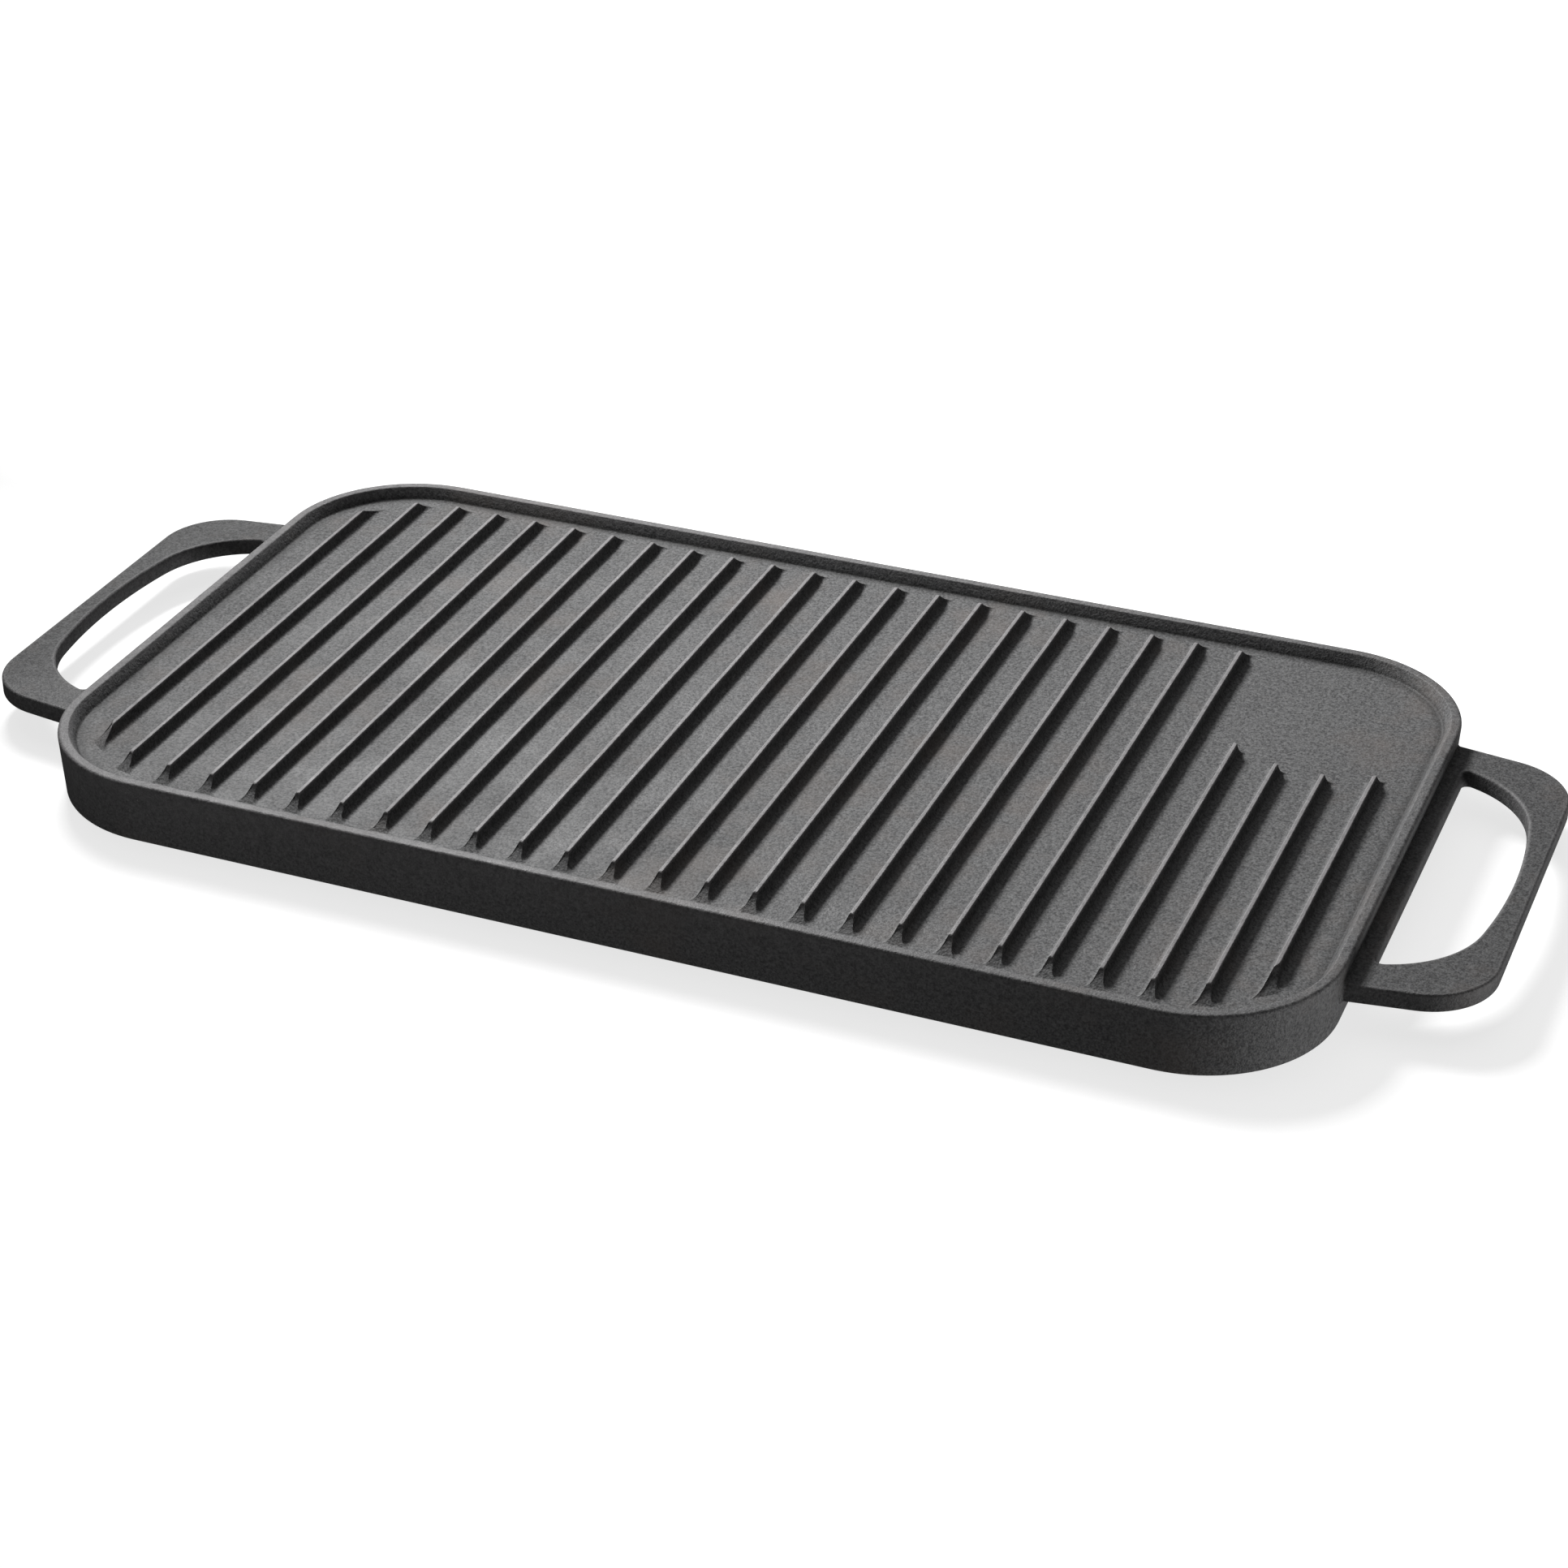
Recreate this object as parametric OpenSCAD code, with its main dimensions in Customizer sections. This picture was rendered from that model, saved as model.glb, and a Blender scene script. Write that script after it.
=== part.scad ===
// Two-handled ribbed griddle: one iron casting, drawn as the regions that make it up.
// Origin: centre of the foot plane. X runs from handle to handle, Y from front to back, Z up.

/* [Plate] */
// Length of the plate between its two end walls
plate_l = 400.6; // [360:0.1:440]
// Width of the plate from front to back
plate_w = 221.8; // [200:0.1:250]
// Height of the plate from its foot to the rim
plate_h = 20.3; // [18:0.1:24]
// Radius of the plate's corners, in plan
corner_r = 42.6; // [36:0.1:50]
// Thickness of the cooking floor
floor_t = 5; // [4:0.1:6]
// Depth of the cooking floor below the rim
well_depth = 4; // [3.4:0.1:4.4]

/* [Rim] */
// Width of the rim's top, up to the inner wall
rim_w = 3.3; // [3:0.1:4.5]
// How far the inner wall leans in on its way down to the cooking floor
inner_lean = 2.2; // [1:0.1:2.6]
// Radius where the inner wall meets the cooking floor
inner_root_r = 1; // [0.5:0.1:1.5]
// How far the outer wall leans in from the rim to the foot
wall_lean = 1; // [0.4:0.1:2]
// Radius of the rim's outer edge
rim_edge_r = 1.1; // [0.6:0.1:1.4]
// Radius of the rim's inner edge
rim_inner_r = 0.6; // [0.4:0.1:1]
// Radius of the foot's outer edge
foot_edge_r = 1.2; // [0.6:0.1:2]
// Thickness of the skirt below the floor, from the outer wall inwards
skirt_t = 6.2; // [5:0.1:7]
// Radius where the skirt turns into the underside of the floor
skirt_root_r = 3; // [2:0.1:4]

/* [Ribs] */
// Number of ribs
rib_count = 26; // [20:1:27]
// Distance from an end wall to the middle of the rib nearest to it
rib_side_margin = 18.55; // [18:0.05:21]
// How far the row of ribs sits to the right of the middle
rib_shift = 0.8; // [-1:0.05:1]
// Width of a rib's crest
crest_w = 1.3; // [1.2:0.1:2]
// Width of a rib just above its root curves
neck_w = 2.2; // [2:0.1:3]
// Radius along the foot of a rib's long sides
rib_root_r = 1.8; // [1:0.1:2.4]
// Radius that rounds a rib's crest
crest_edge_r = 0.3; // [0.2:0.05:0.5]
// Distance from the outer wall to the line where the crests stop at the front and back
crest_margin = 14.5; // [14:0.1:18]
// Distance from the outer wall to the sides of that same outline
crest_side_margin = 15; // [14.5:0.1:15.2]
// Corner radius of the outline where the crests stop
crest_corner_r = 32; // [28:0.5:40]

/* [Clear corner] */
// Distance from the right end wall to the centre of the round area left clear of ribs
clear_side_margin = 37; // [30:0.1:45]
// Distance from the back wall to that centre
clear_back_margin = 43.4; // [35:0.1:50]
// Radius of that area
clear_r = 38; // [30:0.5:42]
// Radius at the foot of the rib ends that face the clear area
clear_root_r = 2; // [1:0.1:3]

/* [Handles] */
// How far a handle stands out from the plate's end wall
handle_reach = 38; // [34:0.5:46]
// Height of a handle's top face above the foot
handle_top = 15; // [12:0.1:16]
// Thickness of a handle
handle_t = 5.8; // [5:0.1:7]
// Half the length of the grip's straight outer edge
grip_half_l = 47; // [40:0.5:50]
// Radius of a handle's outer corners
handle_corner_r = 21.9; // [18:0.1:24]
// Half the width of a handle where it meets the end wall
root_half_w = 71.5; // [70:0.5:74]
// Width of the flange between the end wall and the finger opening
flange_w = 4.8; // [3.5:0.1:6]
// Width of the grip bar at its middle
grip_w = 6; // [5:0.1:9]
// Radius of the finger opening's outer side
opening_bow_r = 180; // [150:5:240]
// Radius of the finger opening's shoulders
opening_shoulder_r = 33; // [30:0.5:34]
// Angle that the bowed outer side covers on each side of its middle
opening_bow_angle = 10; // [9:0.5:11]

/* [Hidden] */
$fn = 96;

iron = "dimgray";
iron_light = "gray";

floor_top = plate_h - well_depth;
floor_bottom = floor_top - floor_t;
inner_face_l = norm([inner_lean, well_depth]);
// The inner wall's root curve ends here on the floor, measured inwards from the outer wall.
inner_root_u = rim_w + (inner_root_r * inner_face_l + (well_depth - inner_root_r) * inner_lean) / well_depth;
// The floor slab meets the rim's section here, measured inwards from the outer wall.
join_u = max(inner_root_u, skirt_t + skirt_root_r) + 0.2;
wall_face_l = norm([wall_lean, plate_h]);
rib_pitch = (plate_l - 2 * rib_side_margin) / (rib_count - 1);
rib_base_w = neck_w + 2 * rib_root_r;
end_root_r = well_depth;
crest_half_x = plate_l / 2 - crest_side_margin;
crest_half_y = plate_w / 2 - crest_margin;
clear_x = plate_l / 2 - clear_side_margin;
clear_y = plate_w / 2 - clear_back_margin;
spare = 1; // how far a cutter reaches past what it cuts
embed = 3; // how deep a handle's blank starts inside the end wall

// ---- Plate ----

// A rectangle with round corners, centred, as half sizes and a radius.
module round_rect(half_x, half_y, r) {
    square([2 * half_x, 2 * (half_y - r)], center = true);
    square([2 * (half_x - r), 2 * half_y], center = true);
    for (sx = [-1, 1], sy = [-1, 1])
        translate([sx * (half_x - r), sy * (half_y - r)]) circle(r);
}

// Centre of a circle of radius r at height z that touches the leaning outer face.
function edge_centre(z, r) = [wall_lean + (r * wall_face_l - z * wall_lean) / plate_h, z];
// The point where that circle touches the face.
function edge_touch(z, r) = edge_centre(z, r) - r * [plate_h, wall_lean] / wall_face_l;

// Section of the rim and skirt: x runs inwards from the outer wall, y is the height.
module rim_section() {
    top = plate_h;
    facing = [well_depth, inner_lean] / inner_face_l;
    lip = [rim_w - rim_inner_r * (inner_face_l - inner_lean) / well_depth, top - rim_inner_r];
    root = [inner_root_u, floor_top + inner_root_r];
    outer_z = top - rim_edge_r;
    difference() {
        polygon([
            [skirt_t, 0],
            [edge_centre(foot_edge_r, foot_edge_r)[0], 0],
            edge_centre(foot_edge_r, foot_edge_r),
            edge_touch(foot_edge_r, foot_edge_r),
            edge_touch(outer_z, rim_edge_r),
            edge_centre(outer_z, rim_edge_r),
            [edge_centre(outer_z, rim_edge_r)[0], top],
            [lip[0], top],
            lip,
            lip + rim_inner_r * facing,
            root - inner_root_r * facing,
            root,
            [root[0], floor_top],
            [join_u, floor_top],
            [join_u, floor_bottom],
            [skirt_t + skirt_root_r, floor_bottom],
            [skirt_t + skirt_root_r, floor_bottom - skirt_root_r],
            [skirt_t, floor_bottom - skirt_root_r],
        ]);
        translate(root) circle(inner_root_r);
    }
    translate(edge_centre(foot_edge_r, foot_edge_r)) circle(foot_edge_r);
    translate(edge_centre(outer_z, rim_edge_r)) circle(rim_edge_r);
    translate(lip) circle(rim_inner_r);
    // root curve between the skirt and the floor's underside
    translate([skirt_t, floor_bottom - skirt_root_r]) difference() {
        square(skirt_root_r);
        translate([skirt_root_r, 0]) circle(skirt_root_r);
    }
}

// Places a section so that its x = 0 lies at distance d from the axis, and x grows inwards.
module inwards_from(d) {
    translate([d, 0]) mirror([1, 0]) children();
}

module pan_floor() {
    color(iron_light) translate([0, 0, floor_bottom]) linear_extrude(floor_t)
        round_rect(plate_l / 2 - join_u, plate_w / 2 - join_u, corner_r - join_u);
}

// Carries a section round a rectangle with round corners. The section's x runs inwards.
module carry_round(half_x, half_y, r) {
    run_x = 2 * (half_x - r);
    run_y = 2 * (half_y - r);
    for (side = [0, 1]) {
        mirror([0, side, 0]) translate([-run_x / 2, 0, 0]) rotate([90, 0, 90])
            linear_extrude(run_x) inwards_from(half_y) children();
        mirror([side, 0, 0]) translate([0, run_y / 2, 0]) rotate([90, 0, 0])
            linear_extrude(run_y) inwards_from(half_x) children();
    }
    for (sx = [0, 1], sy = [0, 1])
        mirror([sx, 0, 0]) mirror([0, sy, 0]) translate([run_x / 2, run_y / 2, 0])
            rotate_extrude(angle = 90) inwards_from(r) children();
}

module rim_wall() {
    color(iron) carry_round(plate_l / 2, plate_w / 2, corner_r) rim_section();
}

// ---- Ribs ----

function rib_x(i) = rib_shift + (i - (rib_count - 1) / 2) * rib_pitch;

// Cross-section of a rib: a narrow crest on a neck with a concave root on each side.
module rib_section() {
    difference() {
        polygon([
            [-rib_base_w / 2, 0], [rib_base_w / 2, 0],
            [rib_base_w / 2, rib_root_r], [neck_w / 2, rib_root_r],
            [crest_w / 2, well_depth - crest_edge_r], [crest_w / 2 - crest_edge_r, well_depth - crest_edge_r],
            [crest_w / 2 - crest_edge_r, well_depth], [crest_edge_r - crest_w / 2, well_depth],
            [crest_edge_r - crest_w / 2, well_depth - crest_edge_r], [-crest_w / 2, well_depth - crest_edge_r],
            [-neck_w / 2, rib_root_r], [-rib_base_w / 2, rib_root_r],
        ]);
        for (s = [-1, 1]) translate([s * rib_base_w / 2, rib_root_r]) circle(rib_root_r);
    }
    for (s = [-1, 1])
        translate([s * (crest_w / 2 - crest_edge_r), well_depth - crest_edge_r]) circle(crest_edge_r);
}

// Section of what is cut away where ribs end, from x = 0 at the crest's end outwards: each end face
// rises from a concave root of radius r at the floor.
module past_end_section(r, reach) {
    translate([r, r]) circle(r);
    translate([0, r]) square([reach, well_depth]);
    translate([r, -spare]) square([reach - r, well_depth + 2 * spare]);
}

// Everything outside the outline where the crests stop.
module outside_crests() {
    reach = crest_corner_r;
    carry_round(crest_half_x + reach, crest_half_y + reach, crest_corner_r + reach)
        translate([reach, 0]) mirror([1, 0]) past_end_section(end_root_r, reach);
}

// The area in the back right corner that the ribs stop short of: round, and open to the rim behind.
module clear_area() {
    translate([clear_x, clear_y, 0]) rotate_extrude()
        translate([clear_r, 0]) mirror([1, 0]) past_end_section(clear_root_r, clear_r);
    translate([clear_x - clear_r + rib_base_w, clear_y, -spare])
        cube([plate_l / 2, plate_w / 2, well_depth + 2 * spare]);
}

module grill_ribs() {
    color(iron_light) translate([0, 0, floor_top]) difference() {
        for (i = [0 : rib_count - 1])
            translate([rib_x(i), plate_w / 2, 0]) rotate([90, 0, 0]) linear_extrude(plate_w) rib_section();
        outside_crests();
        clear_area();
    }
}

// ---- Handles ----

// Outline of the right handle from inside the end wall to the grip's outer edge.
module handle_outline() {
    wall_x = plate_l / 2;
    centre = [wall_x + handle_reach - handle_corner_r, grip_half_l];
    root = [wall_x, root_half_w];
    to_root = root - centre;
    // where the arm's straight edge leaves the corner's arc
    leave = atan2(to_root[1], to_root[0]) - acos(handle_corner_r / norm(to_root));
    touch = centre + handle_corner_r * [cos(leave), sin(leave)];
    for (s = [0, 1]) mirror([0, s]) {
        polygon([
            [wall_x - embed, 0], [wall_x + handle_reach, 0], [wall_x + handle_reach, grip_half_l],
            centre, touch, root, [wall_x - embed, root_half_w],
        ]);
        translate(centre) circle(handle_corner_r);
    }
}

// The D-shaped finger opening: straight beside the plate, bowed on the grip side.
module finger_opening() {
    inner_x = plate_l / 2 + flange_w;
    bow_x = plate_l / 2 + handle_reach - grip_w;
    bow_centre_x = bow_x - opening_bow_r;
    ray = [cos(opening_bow_angle), sin(opening_bow_angle)];
    intersection() {
        translate([inner_x, -root_half_w]) square([handle_reach, 2 * root_half_w]);
        union() {
            intersection() {
                translate([bow_centre_x, 0]) circle(opening_bow_r);
                translate([bow_centre_x, 0]) polygon([
                    [0, 0], 2 * opening_bow_r * [ray[0], -ray[1]], 2 * opening_bow_r * ray,
                ]);
            }
            for (s = [-1, 1])
                translate([bow_centre_x, 0] + (opening_bow_r - opening_shoulder_r) * [ray[0], s * ray[1]])
                    circle(opening_shoulder_r);
        }
    }
}

module handle() {
    difference() {
        translate([0, 0, handle_top - handle_t]) linear_extrude(handle_t) difference() {
            handle_outline();
            finger_opening();
        }
        rim_wall();
    }
}

module right_handle() {
    color(iron) handle();
}

module left_handle() {
    color(iron) mirror([1, 0, 0]) handle();
}

pan_floor();
rim_wall();
grill_ribs();
left_handle();
right_handle();
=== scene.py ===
"""A two-handled ribbed griddle, cast in one piece of iron: its visual meshes, finishes, light and camera.

X runs from handle to handle, Y from front to back and Z up; the foot of the griddle stands at Z = 0.
Each sub-assembly keeps its sizes in millimetres and draws in them; a mesh is scaled to metres when
it is finished. Shader sizes are in metres, as the object coordinates that they read are.
"""

from __future__ import annotations

import logging
import math
from dataclasses import dataclass
from enum import Enum

import bmesh
import bpy
from mathutils import Matrix, Vector


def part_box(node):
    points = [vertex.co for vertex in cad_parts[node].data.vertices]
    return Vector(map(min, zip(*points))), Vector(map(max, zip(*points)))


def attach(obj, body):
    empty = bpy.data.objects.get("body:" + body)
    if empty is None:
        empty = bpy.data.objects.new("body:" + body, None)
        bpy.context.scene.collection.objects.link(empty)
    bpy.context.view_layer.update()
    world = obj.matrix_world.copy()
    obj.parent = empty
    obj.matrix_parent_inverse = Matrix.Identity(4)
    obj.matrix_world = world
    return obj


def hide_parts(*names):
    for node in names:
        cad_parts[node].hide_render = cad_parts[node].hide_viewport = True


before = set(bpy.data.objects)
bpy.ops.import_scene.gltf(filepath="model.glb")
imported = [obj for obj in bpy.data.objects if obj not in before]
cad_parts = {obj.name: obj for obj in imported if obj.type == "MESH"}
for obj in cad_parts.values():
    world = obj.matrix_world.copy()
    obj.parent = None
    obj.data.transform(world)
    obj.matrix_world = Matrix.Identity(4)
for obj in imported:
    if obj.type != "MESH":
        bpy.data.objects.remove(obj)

LOG = logging.getLogger("griddle")
MM = 0.001
EDGE = "edge"  # point attribute: 1 where an edge is brightened, by wear and by a painted highlight, 0 away from it
BODY = "root"
SMOOTH_ANGLE = math.radians(40)
MERGE_MM = 1e-4

FLOAT = "NodeSocketFloat"
INTEGER = "NodeSocketInt"
VECTOR = "NodeSocketVector"
GEOMETRY = "NodeSocketGeometry"
MATERIAL = "NodeSocketMaterial"

Point = tuple[float, float]
Colour = tuple[float, float, float]
Place = tuple[float, float, float]


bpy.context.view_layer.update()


# ---- Outlines and meshes ----


def arc(centre: Point, radius: float, start: float, end: float, steps: int) -> list[Point]:
    """Points along an arc, both ends included.

    Args:
        centre: Centre of the arc.
        radius: Its radius.
        start: Angle of the first point, in degrees.
        end: Angle of the last point, in degrees.
        steps: Number of straight steps that stand for the arc.

    Returns:
        The points in order.
    """
    angles = [math.radians(start + (end - start) * k / steps) for k in range(steps + 1)]
    return [(centre[0] + radius * math.cos(a), centre[1] + radius * math.sin(a)) for a in angles]


def line(start: Point, end: Point, steps: int) -> list[Point]:
    """Evenly spaced points from start to end, both included.

    Args:
        start: First point.
        end: Last point.
        steps: Number of steps between them.

    Returns:
        The points in order.
    """
    shares = [k / steps for k in range(steps + 1)]
    return [(start[0] + (end[0] - start[0]) * t, start[1] + (end[1] - start[1]) * t) for t in shares]


def normals_of(points: list[Point], closed: bool) -> list[Vector]:
    """Unit normals to the right of an outline's direction, which is outwards on an anticlockwise one.

    Args:
        points: The outline's points in order.
        closed: True where the last point is followed by the first.

    Returns:
        One normal for each point.
    """
    count = len(points)
    found = []
    for k in range(count):
        before = points[k - 1] if closed else points[max(k - 1, 0)]
        after = points[(k + 1) % count] if closed else points[min(k + 1, count - 1)]
        found.append(Vector((after[1] - before[1], before[0] - after[0])).normalized())
    return found


def mesh_object(name: str, mesh: bmesh.types.BMesh) -> bpy.types.Object:
    """Turns a bmesh into an object of the scene.

    Args:
        name: Name of the object and of its mesh.
        mesh: The bmesh, which is freed.

    Returns:
        The new object, at the origin.
    """
    data = bpy.data.meshes.new(name)
    mesh.to_mesh(data)
    mesh.free()
    made = bpy.data.objects.new(name, data)
    bpy.context.scene.collection.objects.link(made)
    return made


def finish_mesh(piece: bpy.types.Object) -> None:
    """Merges doubles, turns faces outwards, scales millimetres to metres and smooths the shading.

    Args:
        piece: A mesh object drawn in millimetres.
    """
    mesh = bmesh.new()
    mesh.from_mesh(piece.data)
    bmesh.ops.remove_doubles(mesh, verts=mesh.verts, dist=MERGE_MM)
    bmesh.ops.recalc_face_normals(mesh, faces=mesh.faces)
    mesh.to_mesh(piece.data)
    mesh.free()
    piece.data.transform(Matrix.Scale(MM, 4))
    piece.data.shade_smooth()
    piece.data.set_sharp_from_angle(angle=SMOOTH_ANGLE)
    piece.data.name = piece.name


def grow(piece: bpy.types.Object, tree: bpy.types.NodeTree, sizes: dict[str, object]) -> None:
    """Runs a geometry node tree on an object and keeps the result as its plain mesh.

    Args:
        piece: The object, whose own mesh feeds the tree.
        tree: The geometry node group.
        sizes: Value of each named input.
    """
    modifier = piece.modifiers.new(tree.name, "NODES")
    modifier.node_group = tree
    for item in tree.interface.items_tree:
        if item.item_type == "SOCKET" and item.in_out == "INPUT" and item.name in sizes:
            modifier[item.identifier] = sizes[item.name]
    piece.update_tag()
    seen = piece.evaluated_get(bpy.context.evaluated_depsgraph_get())
    grown = bpy.data.meshes.new_from_object(seen)
    piece.modifiers.remove(modifier)
    piece.data = grown


def hand_over(piece: bpy.types.Object, node: str, slot: str) -> None:
    """Puts a finished piece in the place of a CAD node.

    Args:
        piece: The piece, which stands for the node.
        node: Name of the CAD node.
        slot: Name of a material slot; not used.
    """
    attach(piece, BODY)
    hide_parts(node)
    LOG.info("%s: %d faces, stands for %s", piece.name, len(piece.data.polygons), node)


# ---- Node sketching ----


class Sketch:
    """Adds nodes to a node tree and links them."""

    def __init__(self, name: str, kind: str, takes: dict[str, str], gives: dict[str, str]) -> None:
        """Makes a node group with named sockets.

        Args:
            name: Name of the group.
            kind: "GeometryNodeTree" or "ShaderNodeTree".
            takes: Socket type of each named input.
            gives: Socket type of each named output.
        """
        self.tree = bpy.data.node_groups.new(name, kind)
        for socket, socket_type in takes.items():
            self.tree.interface.new_socket(socket, in_out="INPUT", socket_type=socket_type)
        for socket, socket_type in gives.items():
            self.tree.interface.new_socket(socket, in_out="OUTPUT", socket_type=socket_type)
        self.inputs = self.tree.nodes.new("NodeGroupInput").outputs
        self.outputs = self.tree.nodes.new("NodeGroupOutput").inputs

    def give(self, name: str, value: bpy.types.NodeSocket) -> None:
        """Links a socket to one of the group's outputs."""
        self.tree.links.new(value, self.outputs[name])

    def add(self, kind: str, feeds: dict | None = None, **settings: object) -> bpy.types.Node:
        """Adds one node.

        Args:
            kind: The node's type name.
            feeds: What each input gets, by its name or number: a socket to link, or a value.
            **settings: Properties to set on the node before its inputs are fed.

        Returns:
            The node.
        """
        return add_node(self.tree, kind, feeds, **settings)

    def maths(self, operation: str, *terms: object) -> bpy.types.NodeSocket:
        """Adds a Math node and returns its result.

        Args:
            operation: A Math node's operation.
            *terms: One to three sockets or numbers.

        Returns:
            The output socket.
        """
        return self.add("ShaderNodeMath", dict(enumerate(terms)), operation=operation).outputs[0]

    def offset_waves(
        self, place: object, size: object, middle: Place, amount: object
    ) -> bpy.types.NodeSocket:
        """A slow random offset in all three directions.

        Args:
            place: The coordinates that it reads.
            size: Length of its waves.
            middle: The noise value that means no offset, in each direction.
            amount: How much the waves are scaled.

        Returns:
            The offset's socket.
        """
        wave = self.noise(place, self.maths("DIVIDE", 1.0, size), 2.0, 0.5).outputs["Color"]
        centred = self.add("ShaderNodeVectorMath", {0: wave, 1: middle}, operation="SUBTRACT").outputs[0]
        scaled = {0: centred, "Scale": amount}
        return self.add("ShaderNodeVectorMath", scaled, operation="SCALE").outputs[0]

    def give_dressed(self, geometry: object) -> None:
        """Realizes the geometry, gives it the material of the Finish input and outputs it as the mesh.

        Args:
            geometry: The geometry's socket.
        """
        real = self.add("GeometryNodeRealizeInstances", {"Geometry": geometry}).outputs[0]
        dressed = self.add("GeometryNodeSetMaterial", {"Geometry": real, "Material": self.inputs["Finish"]})
        self.give("Mesh", dressed.outputs[0])

    def noise(self, where: object, scale: object, detail: float, rough: float) -> bpy.types.Node:
        """Adds a Noise Texture.

        Args:
            where: The coordinates that it reads.
            scale: Cells for each unit of those coordinates.
            detail: Octaves.
            rough: Strength of the finer octaves.

        Returns:
            The node.
        """
        feeds = {"Vector": where, "Scale": scale, "Detail": detail, "Roughness": rough}
        return self.add("ShaderNodeTexNoise", feeds)

    def spread(self, value: object, source: Point, target: Point) -> bpy.types.NodeSocket:
        """Maps a value from one range to another, clamped.

        Args:
            value: The socket or number to map.
            source: Start and end of the range that it comes from.
            target: What the start and the end become.

        Returns:
            The output socket.
        """
        feeds = {
            "Value": value, "From Min": source[0], "From Max": source[1],
            "To Min": target[0], "To Max": target[1],
        }
        return self.add("ShaderNodeMapRange", feeds).outputs[0]


def add_node(
    tree: bpy.types.NodeTree, kind: str, feeds: dict | None = None, **settings: object
) -> bpy.types.Node:
    """Adds one node to a tree.

    Args:
        tree: The tree.
        kind: The node's type name.
        feeds: What each input gets, by its name or number: a socket to link, or a value.
        **settings: Properties to set on the node before its inputs are fed.

    Returns:
        The node.
    """
    node = tree.nodes.new(kind)
    for name, value in settings.items():
        setattr(node, name, value)
    for name, value in (feeds or {}).items():
        if isinstance(value, bpy.types.NodeSocket):
            tree.links.new(value, node.inputs[name])
        else:
            node.inputs[name].default_value = value
    return node


# ---- Finishes ----


def build_grain() -> bpy.types.NodeTree:
    """Builds the sand-cast grain: fine pebbles and pits over slow, broad unevenness.

    Returns:
        The shader node group.
    """
    takes = {"Vector": VECTOR, "Grain Size": FLOAT, "Broad Size": FLOAT, "Broad Share": FLOAT}
    gives = {"Height": FLOAT, "Speckle": FLOAT, "Cloud": FLOAT}
    sketch = Sketch("sand_cast_grain", "ShaderNodeTree", takes, gives)
    where = sketch.inputs["Vector"]
    fine_scale = sketch.maths("DIVIDE", 1.0, sketch.inputs["Grain Size"])
    pebble_scale = sketch.maths("MULTIPLY", fine_scale, 0.5)
    broad_scale = sketch.maths("DIVIDE", 1.0, sketch.inputs["Broad Size"])
    fine = sketch.noise(where, fine_scale, 2.0, 0.6).outputs["Fac"]
    pebble = sketch.noise(where, pebble_scale, 1.0, 0.5).outputs["Fac"]
    broad = sketch.noise(where, broad_scale, 3.0, 0.5).outputs["Fac"]
    mixed = sketch.maths("MULTIPLY_ADD", pebble, 0.9, fine)
    height = sketch.maths("MULTIPLY_ADD", broad, sketch.inputs["Broad Share"], mixed)
    sketch.give("Height", height)
    sketch.give("Speckle", sketch.spread(sketch.maths("ADD", fine, pebble), (0.7, 1.3), (0.0, 1.0)))
    sketch.give("Cloud", sketch.spread(broad, (0.3, 0.7), (0.0, 1.0)))
    return sketch.tree


def build_wear_and_highlight() -> bpy.types.NodeTree:
    """Builds edge brightening, part real wear and part painted highlight: a broken polish along edges,
    a painted falloff that weakens it towards the right end, small nicks, commoner to the left,
    and darkened inside corners.

    An edge value above 0 marks an edge that is worn and given a painted highlight, and one below 0
    an inside corner that is darkened.

    Returns:
        The shader node group.
    """
    takes = {"Vector": VECTOR, "Edge": FLOAT, "Amount": FLOAT, "Fade": FLOAT, "Nicks": FLOAT}
    sketch = Sketch("edge_wear_and_highlight", "ShaderNodeTree", takes, {"Wear": FLOAT, "Nick": FLOAT, "Dirt": FLOAT})
    where = sketch.inputs["Vector"]
    edge = sketch.maths("MAXIMUM", sketch.inputs["Edge"], 0.0)
    # inside corners, marked by edge values below 0, are darkened
    corner = sketch.maths("MAXIMUM", sketch.maths("MULTIPLY", sketch.inputs["Edge"], -1.0), 0.0)
    along = sketch.noise(where, 300.0, 3.0, 0.6).outputs["Fac"]
    broken = sketch.spread(along, (0.32, 0.62), (0.55, 1.0))
    side = sketch.add("ShaderNodeSeparateXYZ", {"Vector": where}).outputs["X"]
    # painted falloff of the light: the edge brightening weakens towards the right end
    falloff_share = sketch.maths("MULTIPLY", sketch.spread(side, (-0.12, 0.2), (0.0, 1.0)), sketch.inputs["Fade"])
    amount = sketch.maths("MULTIPLY", sketch.inputs["Amount"], sketch.maths("SUBTRACT", 1.0, falloff_share))
    # edges brightened: part real wear, part painted highlight
    wear = sketch.maths("MULTIPLY", sketch.maths("MULTIPLY", edge, broken), amount)
    likely = sketch.spread(side, (-0.2, -0.05), (0.0, 0.07))
    chips = sketch.noise(where, 900.0, 2.0, 0.5).outputs["Fac"]
    level = sketch.maths("SUBTRACT", chips, likely)
    nick = sketch.maths("MULTIPLY", sketch.spread(level, (0.69, 0.75), (0.0, 1.0)), edge)
    sketch.give("Wear", wear)
    sketch.give("Dirt", corner)
    sketch.give("Nick", sketch.maths("MULTIPLY", nick, sketch.inputs["Nicks"]))
    return sketch.tree


class Region(Enum):
    """The regions of the casting that differ in how much their edges are worn and given a painted highlight.
    """

    COOKING = "cooking_face"
    RIM = "rim"
    HANDLE = "handle"


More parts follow.
